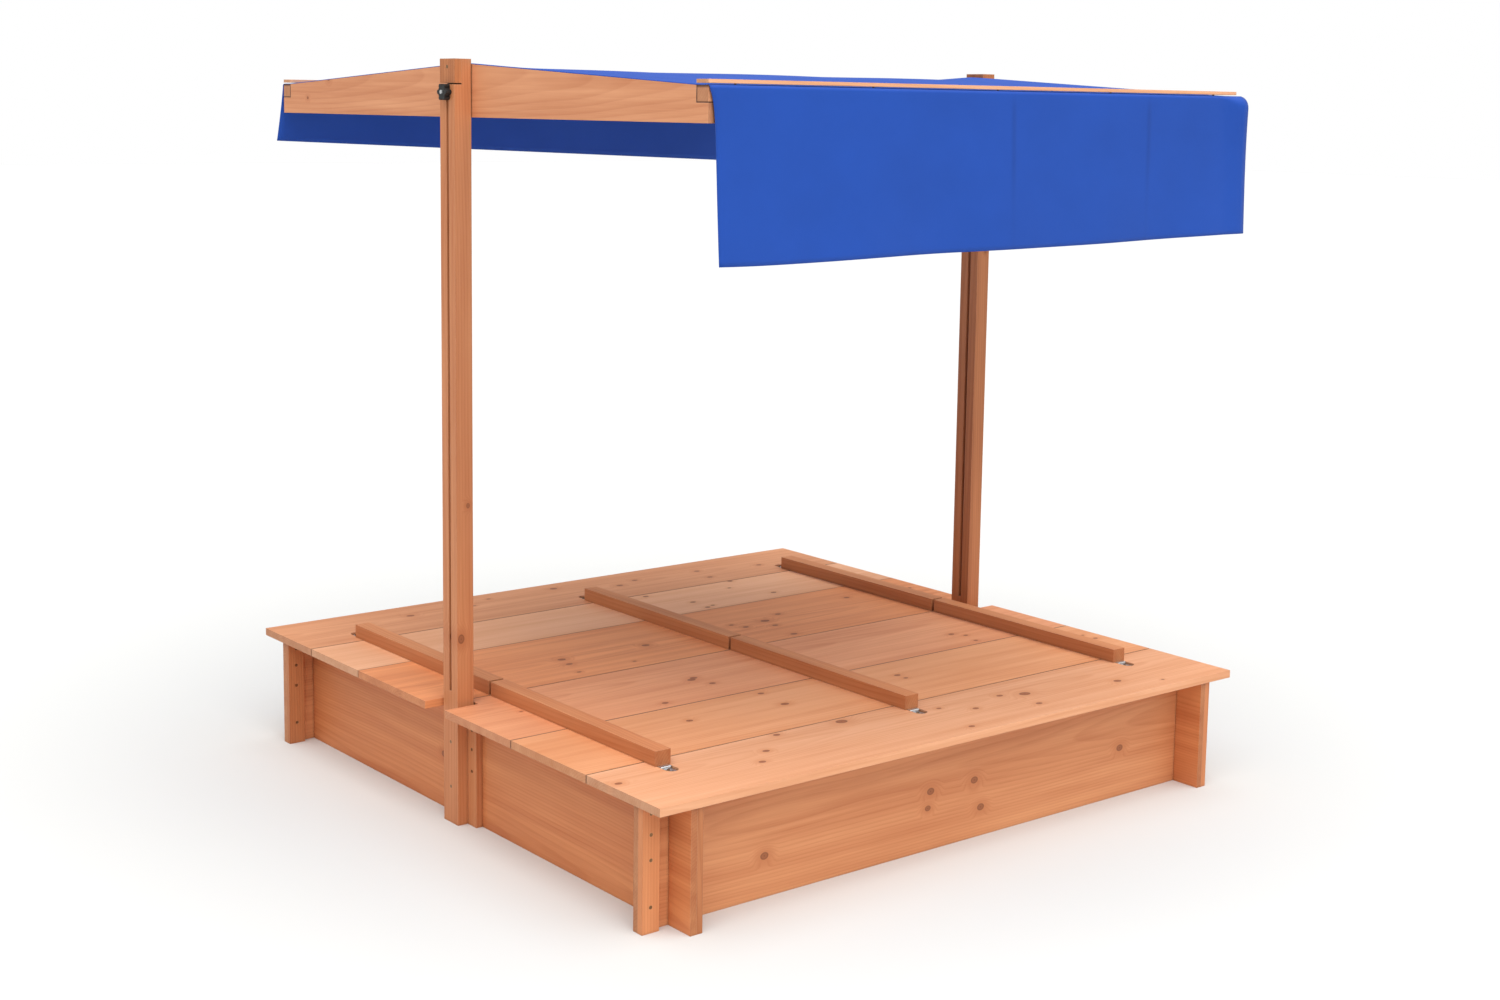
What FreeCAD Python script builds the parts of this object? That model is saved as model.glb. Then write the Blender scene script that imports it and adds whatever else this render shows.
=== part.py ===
"""Sandbox with a two-leaf hinged lid and a height-adjustable fabric canopy on two slotted posts.

Origin on the ground under the middle of the box, +Z up, +X from the left post to the right post,
+Y from the side with the long valance towards the back. Millimetres.
"""
import FreeCAD, Part
import math
import os
import re

from FreeCAD import Placement, Rotation, Vector

SIZES = {
    # box
    "deck_side": 1150,          # plan size of the deck, both ways
    "deck_thickness": 12,
    "wall_height": 176,
    "wall_thickness": 10,
    "wall_inset": 55,           # deck edge to the outer face of a wall
    "wall_end_inset": 5,        # deck edge to the end of a wall
    "wall_slot_play": 0.2,      # each side of a wall in the crossing slot
    "corner_batten_width": 28,
    "corner_batten_thickness": 10,
    # posts
    "post_height": 1150,
    "post_width": 41,
    "post_depth": 28,
    "post_slot_width": 6.4,
    "post_slot_above_deck": 19,
    "head_block_height": 35,
    "head_block_depth": 12,
    "head_block_gap": 2,
    "post_cleat_width": 25,
    "post_cleat_thickness": 11,
    "post_notch_play": 9.5,     # deck notch, each side of the post
    "post_notch_depth_play": 3,
    # deck planks
    "rim_width": 169,
    "front_outer_plank": 192,
    "back_outer_plank": 163,
    "lid_gap": 2,               # round each lid leaf
    "plank_gap": 0.8,           # between the planks of one leaf
    # lid battens
    "batten_width": 26,
    "batten_height": 22,
    "batten_over_rim": 26,
    "batten_edge_inset": 109,   # deck edge to the middle of an outer batten
    "batten_centre_gap": 6,
    # hinges
    "hinge_width": 18,
    "hinge_leaf_length": 24,
    "hinge_leaf_thickness": 1.5,
    "hinge_axis_offset": 5,     # batten end to hinge axis
    "hinge_axis_depth": 2,      # deck top to hinge axis
    "hinge_knuckle_radius": 2.4,
    "hinge_pin_radius": 1,
    "hinge_pin_play": 0.05,
    "hinge_leaf_play": 0.3,
    "hinge_recess_depth": 5,
    "hinge_recess_play": 1,
    # canopy
    "bolt_below_top": 48,
    "bolt_radius": 3,
    "bolt_play": 0.05,
    "bolt_head_radius": 8,
    "bolt_head_thickness": 3,
    "gable_below_bolt": 36,
    "gable_end_height": 46,
    "gable_peak_height": 77.5,
    "gable_thickness": 12,
    "gable_gap": 1,             # post to gable board
    "canopy_lip": 12,           # gable end beyond the deck edge
    "rail_width": 25,
    "rail_height": 22,
    "rail_play": 0.3,
    "strip_thickness": 5,
    "strip_short": 12,          # clamp strip short of the right gable face
    "fabric_thickness": 2,
    "fabric_play": 0.3,
    "front_valance_drop": 231,
    "back_valance_drop": 129,
    # knobs
    "knob_radius": 9.5,
    "knob_lobe_radius": 3.4,
    "knob_thickness": 9,
    "knob_gap": 0.5,            # post to knob
    "bolt_tip": 1.5,            # bolt end beyond the knob
    # screws
    "screw_head_radius": 2.6,
    "screw_head_thickness": 1.4,
    "screw_radius": 1.5,
    "hinge_screw_radius": 1.2,
    "hinge_screw_head_radius": 2.3,
    "hinge_screw_head_thickness": 1.2,
}
KNOB_LOBES = 6

doc = FreeCAD.newDocument("SandboxWithCover")
sheet = doc.addObject("Spreadsheet::Sheet", "dims")
for row, (alias, value) in enumerate(SIZES.items(), start=1):
    sheet.set("A%d" % row, alias)
    sheet.set("B%d" % row, str(value))
    sheet.setAlias("B%d" % row, alias)
doc.recompute()

# places that several pieces share, each written once in terms of the sheet
PLACES = {
    "deck_edge": "deck_side / 2",
    "deck_top": "wall_height + deck_thickness",
    "wall_face": "deck_edge - wall_inset",
    "wall_end": "deck_edge - wall_end_inset",
    "post_face": "wall_face + post_depth",
    "slot_foot": "deck_top + post_slot_above_deck",
    "slot_head": "post_height - head_block_height - head_block_gap",
    "notch_half": "post_width / 2 + post_notch_play",
    "notch_edge": "wall_face - post_notch_depth_play",
    "rim_seam": "deck_edge - rim_width",
    "batten_end": "rim_seam + batten_over_rim",
    "batten_place": "deck_edge - batten_edge_inset",
    "hinge_y": "batten_end + hinge_axis_offset",
    "hinge_z": "deck_top - hinge_axis_depth",
    "hinge_clear": "hinge_knuckle_radius + hinge_leaf_play",
    "recess_end": "hinge_y + hinge_leaf_length + hinge_recess_play",
    "recess_start": "hinge_y - hinge_leaf_length - hinge_recess_play",
    "recess_floor": "deck_top - hinge_recess_depth",
    "recess_half": "hinge_width / 2 + hinge_recess_play",
    "bolt_z": "post_height - bolt_below_top",
    "gable_foot": "bolt_z - gable_below_bolt",
    "gable_end_top": "gable_foot + gable_end_height",
    "gable_peak": "gable_foot + gable_peak_height",
    "gable_face": "wall_face - gable_gap",
    "gable_end": "deck_edge + canopy_lip",
    "gable_rise": "(gable_peak - gable_end_top) / gable_end",
    "rail_top": "gable_end_top + rail_width * gable_rise",
    "fabric_on_rail": "rail_top + fabric_play",
    "fabric_on_peak": "gable_peak + fabric_play",
    "strip_foot": "fabric_on_rail + fabric_thickness + fabric_play",
    "valance_face": "gable_end + fabric_play",
    "knob_face": "post_face + knob_gap",
}


def expand(text):
    """Writes a formula out in sheet cells."""
    def swap(match):
        word = match.group(0)
        if word in PLACES:
            return "(" + expand(PLACES[word]) + ")"
        return "dims." + word if word in SIZES else word
    return re.sub(r"[a-z][a-z_]*", swap, text)


def bind(obj, **formulas):
    for prop, text in formulas.items():
        obj.setExpression(prop.replace("__", "."), expand(str(text)))
    return obj


def at(obj, x, y, z):
    return bind(obj, Placement__Base__x=x, Placement__Base__y=y, Placement__Base__z=z)


def block(name, x, y, z):
    """Box between two formulas along each axis."""
    obj = doc.addObject("Part::Box", name)
    for prop, (low, high) in zip(("Length", "Width", "Height"), (x, y, z)):
        bind(obj, **{prop: "(%s) - (%s)" % (high, low)})
    return at(obj, x[0], y[0], z[0])


def taper(name, x, y, z_near, z_far):
    """Block whose height range changes from one end of its Y range to the other."""
    obj = doc.addObject("Part::Wedge", name)
    return bind(obj, Xmin=x[0], Xmax=x[1], X2min=x[0], X2max=x[1], Ymin=y[0], Ymax=y[1],
                Zmin=z_near[0], Zmax=z_near[1], Z2min=z_far[0], Z2max=z_far[1])


AXES = {
    "x": Rotation(Vector(0, 0, 1), Vector(1, 0, 0)),
    "-x": Rotation(Vector(0, 0, 1), Vector(-1, 0, 0)),
    "y": Rotation(Vector(0, 0, 1), Vector(0, 1, 0)),
    "-y": Rotation(Vector(0, 0, 1), Vector(0, -1, 0)),
    "z": Rotation(),
    "-z": Rotation(Vector(1, 0, 0), 180),
}


def rod(name, radius, length, foot, axis):
    """Cylinder from its foot point along an axis."""
    obj = doc.addObject("Part::Cylinder", name)
    obj.Placement = Placement(Vector(), AXES[axis])
    bind(obj, Radius=radius, Height=length)
    return at(obj, *foot)


def fuse(name, pieces):
    obj = doc.addObject("Part::MultiFuse", name)
    obj.Shapes = pieces
    obj.Refine = True
    return obj


def group(name, pieces):
    obj = doc.addObject("Part::Compound", name)
    obj.Links = pieces
    return obj


def cut(name, body, tools):
    obj = doc.addObject("Part::Cut", name)
    obj.Base = body
    obj.Tool = tools[0] if len(tools) == 1 else group(name + "_tools", tools)
    obj.Refine = True
    return obj


def turned(obj, degrees):
    """Turns a finished piece about the box's vertical axis."""
    obj.Placement = Placement(Vector(), Rotation(Vector(0, 0, 1), degrees))
    return obj


def screw(name, place, axis, length, kind="screw"):
    """Headed screw; place is where its head's top lies and axis points into the wood."""
    sign = -1 if axis.startswith("-") else 1
    letter = axis[-1]
    neck = list(place)
    index = "xyz".index(letter)
    neck[index] = "(%s) + (%d) * %s_head_thickness" % (place[index], sign, kind)
    return fuse(name, [
        rod(name + "_head", kind + "_head_radius", kind + "_head_thickness", place, axis),
        rod(name + "_shank", kind + "_radius", length, neck, axis),
    ])


NODES = {}


def finished(name, obj, screws=(), degrees=0):
    """Names a piece after drilling it for its screws and turning it into place."""
    if screws:
        obj = cut(name, obj, list(screws))
    if degrees:
        turned(obj, degrees)
    obj.Label = name
    NODES[name] = obj
    return obj


def screw_set(label, screws, degrees=0):
    """Screws of one piece, turned with it."""
    obj = group(label, screws)
    return turned(obj, degrees) if degrees else obj


# walls
WALLS = [("front", 0), ("right", 90), ("back", 180), ("left", 270)]
BATTEN_SCREW_HEIGHTS = ("wall_height - 11", "wall_height - 40", "wall_height - 75", "wall_height - 140")


def wall(side, index):
    board = block(side + "_wall_board", ("-(wall_end)", "wall_end"),
                  ("-(wall_face)", "-(wall_face) + wall_thickness"), ("0", "wall_height"))
    half = ("wall_height / 2", "wall_height + 1") if index % 2 == 0 else ("-1", "wall_height / 2")
    slots = []
    for end, sign in (("a", "-"), ("b", "")):
        middle = "%s(wall_face - wall_thickness / 2)" % sign
        reach = "wall_thickness / 2 + wall_slot_play"
        slots.append(block("%s_wall_slot_%s" % (side, end),
                           (middle + " - (%s)" % reach, middle + " + (%s)" % reach),
                           ("-(wall_face) - 1", "-(wall_face) + wall_thickness + 1"), half))
    return cut(side + "_wall_slotted", board, slots)


def outer_corner_batten(side):
    return block(side + "_outer_batten_blank",
                 ("-(wall_end)", "-(wall_end) + corner_batten_width"),
                 ("-(wall_face) - corner_batten_thickness", "-(wall_face)"), ("0", "wall_height"))


def inner_corner_batten(side):
    return block(side + "_inner_batten_blank",
                 ("wall_end - corner_batten_width", "wall_end"),
                 ("-(wall_face) + wall_thickness",
                  "-(wall_face) + wall_thickness + corner_batten_thickness"), ("0", "wall_height"))


def corner_screws(side):
    out = []
    for number, height in enumerate(BATTEN_SCREW_HEIGHTS):
        out.append(screw("%s_outer_batten_screw_%d" % (side, number),
                         ("-(wall_end) + corner_batten_width / 2",
                          "-(wall_face) - corner_batten_thickness", height), "y", "14"))
        out.append(screw("%s_inner_batten_screw_%d" % (side, number),
                         ("wall_end - corner_batten_width / 2",
                          "-(wall_face) + wall_thickness + corner_batten_thickness", height),
                         "-y", "14"))
    return out


# posts
def post(side):
    stick = block(side + "_post_blank", ("-(post_face)", "-(wall_face)"),
                  ("-post_width / 2", "post_width / 2"), ("0", "post_height"))
    slot = block(side + "_post_slot", ("-(post_face) - 1", "-(wall_face) + 1"),
                 ("-post_slot_width / 2", "post_slot_width / 2"), ("slot_foot", "slot_head"))
    rebate = block(side + "_post_rebate", ("-(post_face) - 1", "-(post_face) + head_block_depth"),
                   ("-post_width / 2 - 1", "post_width / 2 + 1"), ("slot_head", "post_height + 1"))
    return cut(side + "_post_cut", stick, [slot, rebate])


def head_block(side):
    return block(side + "_head_block_blank", ("-(post_face)", "-(post_face) + head_block_depth"),
                 ("-post_width / 2", "post_width / 2"),
                 ("post_height - head_block_height", "post_height"))


def post_cleat(side):
    return block(side + "_cleat_blank", ("-(wall_face) - post_cleat_thickness", "-(wall_face)"),
                 ("-post_width / 2 - post_cleat_width", "-post_width / 2"), ("0", "wall_height"))


def post_screws(side):
    return [screw("%s_post_screw_%d" % (side, number), ("-(post_face)", "0", height), "x",
                  "post_depth + wall_thickness - 4")
            for number, height in enumerate(("wall_height - 49", "wall_height - 119"))]


def cleat_screws(side):
    return [screw("%s_cleat_screw_%d" % (side, number),
                  ("-(wall_face) - post_cleat_thickness",
                   "-post_width / 2 - post_cleat_width / 2", height), "x", "15")
            for number, height in enumerate(("wall_height - 26", "wall_height - 56",
                                             "wall_height - 90"))]


def head_block_screws(side):
    return [screw("%s_head_block_screw" % side,
                  ("-(post_face)", "0", "post_height - head_block_height / 3"), "x", "22")]


# deck: each half is made on the front side, and the back half is turned half a turn
BATTENS = [("left", "-(batten_place)"), ("middle", "0"), ("right", "batten_place")]
HALVES = [("front", 0, "front_outer_plank"), ("back", 180, "back_outer_plank")]


def named_side(half, side):
    """The left batten of the turned back half is made as the right one."""
    if half == "front" or side == "middle":
        return side
    return {"left": "right", "right": "left"}[side]


def hinge_recess(half, side, x):
    label = "%s_%s_recess" % (half, side)
    trough = block(label + "_trough", ("%s - (recess_half)" % x, "%s + (recess_half)" % x),
                   ("-(recess_end) + (recess_half)", "-(recess_start)"),
                   ("recess_floor", "deck_top + 1"))
    end = rod(label + "_end", "recess_half", "hinge_recess_depth + 1",
              (x, "-(recess_end) + (recess_half)", "recess_floor"), "z")
    return fuse(label, [trough, end])


def rim_plank(half):
    plank = block(half + "_rim_blank", ("-(deck_edge)", "deck_edge"),
                  ("-(deck_edge)", "-(rim_seam)"), ("wall_height", "deck_top"))
    return cut(half + "_rim_recessed", plank, [hinge_recess(half, s, x) for s, x in BATTENS])


def outer_lid_plank(half, width):
    return block(half + "_outer_plank_blank", ("-(deck_edge)", "deck_edge"),
                 ("-(rim_seam) + lid_gap", "-(rim_seam) + %s" % width),
                 ("wall_height", "deck_top"))


def inner_lid_plank(half, width):
    plank = block(half + "_inner_plank_blank", ("-(deck_edge)", "deck_edge"),
                  ("-(rim_seam) + %s + plank_gap" % width, "-lid_gap / 2"),
                  ("wall_height", "deck_top"))
    notches = [block("%s_notch_%d" % (half, number), x, ("-(notch_half)", "1"),
                     ("wall_height - 1", "deck_top + 1"))
               for number, x in enumerate((("-(deck_edge) - 1", "-(notch_edge)"),
                                           ("notch_edge", "deck_edge + 1")))]
    return cut(half + "_inner_plank_notched", plank, notches)


def lid_batten(half, side, x):
    return block("%s_%s_batten_blank" % (half, side),
                 ("%s - batten_width / 2" % x, "%s + batten_width / 2" % x),
                 ("-(batten_end)", "-batten_centre_gap / 2"), ("deck_top", "deck_top + batten_height"))


def lid_screws(half, side, x, width):
    """Screws driven up through each plank into the batten."""
    outer = "-(rim_seam) + %s" % width
    places = ["-(rim_seam) + 30", outer + " - 30", outer + " + 30", "-30"]
    planks = [0, 0, 1, 1]
    made = [screw("%s_%s_lid_screw_%d" % (half, side, number), (x, y, "wall_height"), "z", "24")
            for number, y in enumerate(places)]
    return made, [[s for s, p in zip(made, planks) if p == index] for index in (0, 1)]


# hinges
def knuckles(label, x, spans):
    return [rod("%s_knuckle_%d" % (label, number), "hinge_knuckle_radius", "(%s) - (%s)" % (high, low),
                ("%s + (%s)" % (x, low), "-(hinge_y)", "hinge_z"), "x")
            for number, (low, high) in enumerate(spans)]


def tabs(label, x, spans, y, z):
    return [block("%s_tab_%d" % (label, number), ("%s + (%s)" % (x, low), "%s + (%s)" % (x, high)), y, z)
            for number, (low, high) in enumerate(spans)]


INNER_SPAN = [("-hinge_width / 6", "hinge_width / 6")]
OUTER_SPANS = [("-hinge_width / 2", "-hinge_width / 6 - hinge_leaf_play"),
               ("hinge_width / 6 + hinge_leaf_play", "hinge_width / 2")]


def fixed_hinge_leaf(half, side, x):
    """Leaf in the rim's recess, with the pin riveted into its middle knuckle."""
    label = "%s_%s_fixed" % (half, side)
    level = ("recess_floor", "recess_floor + hinge_leaf_thickness")
    plate = block(label + "_plate", ("%s - hinge_width / 2" % x, "%s + hinge_width / 2" % x),
                  ("-(hinge_y) - hinge_leaf_length + hinge_width / 2", "-(hinge_y) - (hinge_clear)"), level)
    pin = rod(label + "_pin", "hinge_pin_radius", "hinge_width",
              ("%s - hinge_width / 2" % x, "-(hinge_y)", "hinge_z"), "x")
    tip = rod(label + "_tip", "hinge_width / 2", "hinge_leaf_thickness",
              (x, "-(hinge_y) - hinge_leaf_length + hinge_width / 2", "recess_floor"), "z")
    return fuse(label, [plate, tip, pin] + knuckles(label, x, INNER_SPAN)
                + tabs(label, x, INNER_SPAN, ("-(hinge_y) - (hinge_clear)", "-(hinge_y)"), level))


def moving_hinge_leaf(half, side, x):
    """Leaf under the batten, turning on the pin."""
    label = "%s_%s_moving" % (half, side)
    level = ("deck_top - hinge_leaf_thickness", "deck_top")
    plate = block(label + "_plate", ("%s - hinge_width / 2" % x, "%s + hinge_width / 2" % x),
                  ("-(hinge_y) + (hinge_clear)", "-(hinge_y) + hinge_leaf_length"), level)
    solid = fuse(label + "_solid", [plate] + knuckles(label, x, OUTER_SPANS)
                 + tabs(label, x, OUTER_SPANS, ("-(hinge_y)", "-(hinge_y) + (hinge_clear)"), level))
    bore = rod(label + "_bore", "hinge_pin_radius + hinge_pin_play", "hinge_width + 2",
               ("%s - hinge_width / 2 - 1" % x, "-(hinge_y)", "hinge_z"), "x")
    return cut(label, solid, [bore])


def fixed_leaf_screws(half, side, x):
    top = "recess_floor + hinge_leaf_thickness + hinge_screw_head_thickness"
    return [screw("%s_%s_fixed_screw_%d" % (half, side, number), (x, "-(hinge_y) - (%s)" % y, top),
                  "-z", "6", "hinge_screw")
            for number, y in enumerate(("hinge_leaf_length * 0.35", "hinge_leaf_length * 0.75"))]


def moving_leaf_screws(half, side, x):
    foot = "deck_top - hinge_leaf_thickness - hinge_screw_head_thickness"
    return [screw("%s_%s_moving_screw_%d" % (half, side, number), (x, "-(hinge_y) + (%s)" % y, foot),
                  "z", "10", "hinge_screw")
            for number, y in enumerate(("hinge_leaf_length * 0.4", "hinge_leaf_length * 0.75"))]


# canopy
def gable_board(side, sign):
    """Tapered board, notched at both top corners for the rails and bored for the pivot bolt."""
    x = (("-(gable_face)", "-(gable_face) + gable_thickness") if sign < 0
         else ("gable_face - gable_thickness", "gable_face"))
    ends, peak = ("gable_foot", "gable_end_top"), ("gable_foot", "gable_peak")
    board = fuse(side + "_gable_board_blank", [
        taper(side + "_gable_front_half", x, ("-(gable_end)", "0"), ends, peak),
        taper(side + "_gable_back_half", x, ("0", "gable_end"), peak, ends)])
    wide = (x[0] + " - 1", x[1] + " + 1")
    tools = [block("%s_gable_notch_%s" % (side, end), wide, y,
                   ("rail_top - rail_height", "gable_peak"))
             for end, y in (("front", ("-(gable_end) - 1", "-(gable_end) + rail_width + rail_play")),
                            ("back", ("gable_end - rail_width - rail_play", "gable_end + 1")))]
    tools.append(rod(side + "_gable_bore", "bolt_radius + bolt_play", "gable_thickness + 2",
                     (wide[0], "0", "bolt_z"), "x"))
    return cut(side + "_gable_cut", board, tools)


def rail(end, sign):
    y = (("-(gable_end)", "-(gable_end) + rail_width") if sign < 0
         else ("gable_end - rail_width", "gable_end"))
    return block(end + "_rail_blank", ("-(gable_face)", "gable_face"), y,
                 ("rail_top - rail_height", "rail_top"))


def clamp_strip(end, sign):
    y = (("-(gable_end)", "-(gable_end) + rail_width") if sign < 0
         else ("gable_end - rail_width", "gable_end"))
    return block(end + "_strip_blank", ("-(gable_face)", "gable_face - strip_short"), y,
                 ("strip_foot", "strip_foot + strip_thickness"))


def canopy_top():
    """Roof panel: flat over each rail, rising to the gable peaks."""
    x = ("-(gable_face)", "gable_face")
    low = ("fabric_on_rail", "fabric_on_rail + fabric_thickness")
    high = ("fabric_on_peak", "fabric_on_peak + fabric_thickness")
    inner = "gable_end - rail_width"
    outer = "valance_face + fabric_thickness"
    return fuse("canopy_top_panel", [
        block("canopy_top_front_rail", x, ("-(%s)" % outer, "-(%s)" % inner), low),
        taper("canopy_top_front_slope", x, ("-(%s)" % inner, "0"), low, high),
        taper("canopy_top_back_slope", x, ("0", inner), high, low),
        block("canopy_top_back_rail", x, (inner, outer), low)])


def valance(end, sign):
    y = (("-(valance_face) - fabric_thickness", "-(valance_face)") if sign < 0
         else ("valance_face", "valance_face + fabric_thickness"))
    return block(end + "_valance_blank", ("-(gable_face)", "gable_face"), y,
                 ("fabric_on_rail - %s_valance_drop" % end, "fabric_on_rail"))


def rail_screws(end, sign):
    """Screws up through each gable end into the rail, and down through the clamp strip."""
    y = "%d * (gable_end - rail_width / 2)" % sign
    up = {side: screw("%s_%s_rail_screw" % (end, side),
                      ("%d * (gable_face - gable_thickness / 2)" % s, y, "gable_foot"), "z", "34")
          for side, s in (("left", -1), ("right", 1))}
    down = [screw("%s_strip_screw_%d" % (end, number),
                  ("%s * (gable_face)" % share, y, "strip_foot + strip_thickness"), "-z", "16")
            for number, share in enumerate(("-0.9", "-0.45", "0", "0.45", "0.9"))]
    return up, down


# pivot bolts and knobs
def pivot_bolt(side, sign):
    axis = "-x" if sign < 0 else "x"
    neck = "%d * (gable_face - gable_thickness)" % sign
    return fuse(side + "_bolt_solid", [
        rod(side + "_bolt_head", "bolt_head_radius", "bolt_head_thickness",
            ("%d * (gable_face - gable_thickness - bolt_head_thickness - bolt_play)" % sign, "0", "bolt_z"),
            axis),
        rod(side + "_bolt_shank", "bolt_radius",
            "gable_thickness + gable_gap + post_depth + knob_gap + knob_thickness + bolt_tip + bolt_play",
            ("%s - (%d) * bolt_play" % (neck, sign), "0", "bolt_z"), axis)])


def star_knob(side, sign):
    axis = "-x" if sign < 0 else "x"
    face = "%d * (knob_face)" % sign
    pieces = [rod(side + "_knob_core", "knob_radius", "knob_thickness", (face, "0", "bolt_z"), axis)]
    for number in range(KNOB_LOBES):
        angle = 2 * math.pi * number / KNOB_LOBES
        pieces.append(rod("%s_knob_lobe_%d" % (side, number), "knob_lobe_radius", "knob_thickness",
                          (face, "knob_radius * (%.6f)" % math.cos(angle),
                           "bolt_z + knob_radius * (%.6f)" % math.sin(angle)), axis))
    solid = fuse(side + "_knob_solid", pieces)
    bore = rod(side + "_knob_bore", "bolt_radius + bolt_play", "knob_thickness + 2",
               ("%s - (%d)" % (face, sign), "0", "bolt_z"), axis)
    return cut(side + "_knob_bored", solid, [bore])


# box
box_screws, canopy_screws = [], []
lid_screw_sets = {"front": [], "back": []}
side_screws = {side: post_screws(side) + cleat_screws(side) for side in ("left", "right")}
for side in ("left", "right"):
    box_screws.append(screw_set(side + "_side_screws", side_screws[side] + head_block_screws(side),
                                0 if side == "left" else 180))

for index, (side, degrees) in enumerate(WALLS):
    screws = corner_screws(side)
    board = turned(cut(side + "_wall_drilled", wall(side, index), screws), degrees)
    through = [b for b in box_screws[:2] if b.Label.startswith(side)]
    finished(side + "_wall", board, through)
    finished(side + "_outer_corner_batten", outer_corner_batten(side), screws[0::2], degrees)
    finished(side + "_inner_corner_batten", inner_corner_batten(side), screws[1::2], degrees)
    box_screws.append(screw_set(side + "_corner_screws", screws, degrees))

for side, degrees in (("left", 0), ("right", 180)):
    on_post = side_screws[side][:2]
    on_cleat = side_screws[side][2:]
    on_block = [s for s in box_screws[0 if side == "left" else 1].Links if "head_block" in s.Name]
    finished(side + "_post", post(side), on_post + on_block, degrees)
    finished(side + "_post_head_block", head_block(side), on_block, degrees)
    finished(side + "_post_cleat", post_cleat(side), on_cleat, degrees)

# deck and lid
for half, degrees, width in HALVES:
    into_rim, into_planks = [], [[], []]
    for made_side, x in BATTENS:
        side = named_side(half, made_side)
        label = "%s_%s" % (half, side)
        up, per_plank = lid_screws(half, side, x, width)
        for index in (0, 1):
            into_planks[index] += per_plank[index]
        fixed, moving = fixed_leaf_screws(half, side, x), moving_leaf_screws(half, side, x)
        into_rim += fixed
        finished(label + "_hinge_fixed_leaf", fixed_hinge_leaf(half, side, x), fixed, degrees)
        finished(label + "_hinge_moving_leaf", moving_hinge_leaf(half, side, x), moving, degrees)
        finished(label + "_lid_batten", lid_batten(half, side, x), up + moving, degrees)
        lid_screw_sets[half].append(screw_set(label + "_lid_screw_set", up + moving, degrees))
    finished(half + "_rim_plank", rim_plank(half), into_rim, degrees)
    finished(half + "_lid_outer_plank", outer_lid_plank(half, width), into_planks[0], degrees)
    finished(half + "_lid_inner_plank", inner_lid_plank(half, width), into_planks[1], degrees)
    box_screws.append(screw_set(half + "_hinge_screw_set", into_rim, degrees))
    finished(half + "_lid_screws", group(half + "_lid_screw_group", lid_screw_sets[half]))
finished("box_screws", group("box_screw_group", box_screws))

# canopy
into_gable = {"left": [], "right": []}
for end, sign in (("front", -1), ("back", 1)):
    up, down = rail_screws(end, sign)
    for side in into_gable:
        into_gable[side].append(up[side])
    finished(end + "_canopy_rail", rail(end, sign), list(up.values()) + down)
    finished(end + "_clamp_strip", clamp_strip(end, sign), down)
    finished("canopy_%s_valance" % end, valance(end, sign))
    canopy_screws += list(up.values()) + down
finished("canopy_top", canopy_top(), [s for s in canopy_screws if "strip" in s.Name])
for side, sign in (("left", -1), ("right", 1)):
    finished(side + "_gable_board", gable_board(side, sign), into_gable[side])
    finished(side + "_pivot_bolt", pivot_bolt(side, sign))
    finished(side + "_knob", star_knob(side, sign))
finished("canopy_screws", group("canopy_screw_group", canopy_screws))

doc.recompute()
for obj in doc.Objects:
    if "Invalid" in obj.State or "Error" in obj.State:
        raise RuntimeError("%s did not compute: %s" % (obj.Name, obj.State))
os.makedirs("parts", exist_ok=True)
for name, obj in NODES.items():
    if obj.Shape.isNull() or not obj.Shape.isValid() or not obj.Shape.Solids:
        raise RuntimeError("%s has no sound solid" % name)
    obj.Shape.exportStep("parts/%s.step" % name)
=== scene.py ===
"""Sandbox with a hinged lid and a fabric canopy: the looks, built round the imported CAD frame."""
import math
import random

import bpy
from bpy.props import FloatProperty, FloatVectorProperty, PointerProperty
from bpy.types import Operator, Panel, PropertyGroup
from mathutils import Matrix, Vector


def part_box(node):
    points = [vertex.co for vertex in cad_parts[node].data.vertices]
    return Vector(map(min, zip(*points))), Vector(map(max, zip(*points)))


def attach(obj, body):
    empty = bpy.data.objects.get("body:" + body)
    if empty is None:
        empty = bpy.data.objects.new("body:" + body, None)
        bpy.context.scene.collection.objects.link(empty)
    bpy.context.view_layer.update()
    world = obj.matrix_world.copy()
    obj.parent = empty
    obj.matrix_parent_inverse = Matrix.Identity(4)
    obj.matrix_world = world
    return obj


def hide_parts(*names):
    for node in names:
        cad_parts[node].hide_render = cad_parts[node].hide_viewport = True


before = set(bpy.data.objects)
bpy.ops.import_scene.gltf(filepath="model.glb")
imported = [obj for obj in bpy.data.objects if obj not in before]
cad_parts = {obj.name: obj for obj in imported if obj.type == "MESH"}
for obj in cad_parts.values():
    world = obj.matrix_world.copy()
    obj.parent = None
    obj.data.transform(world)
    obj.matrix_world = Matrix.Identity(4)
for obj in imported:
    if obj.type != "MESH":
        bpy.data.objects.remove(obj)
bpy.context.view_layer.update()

bl_info = {
    "name": "Sandbox with canopy",
    "version": (1, 0, 0),
    "blender": (4, 5, 0),
    "location": "3D View > Sidebar > Sandbox",
    "description": "Glazed fir, a canopy sheet and plated fittings round a fixed CAD frame",
    "category": "Object",
}

MM = 0.001


def linear(colour):
    """An sRGB hex colour such as #C88A5C as linear red, green, blue and alpha."""
    parts = [int(colour[i:i + 2], 16) / 255 for i in (1, 3, 5)]
    return (*(p / 12.92 if p <= 0.04045 else ((p + 0.055) / 1.055) ** 2.4 for p in parts), 1.0)


# --- settings that a user would change ---------------------------------------------------------


def colour_setting(name, description, value):
    """A colour swatch whose default is an sRGB hex colour."""
    return FloatVectorProperty(
        name=name, description=description, subtype="COLOR", size=3, min=0, max=1,
        default=linear(value)[:3],
    )


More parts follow.
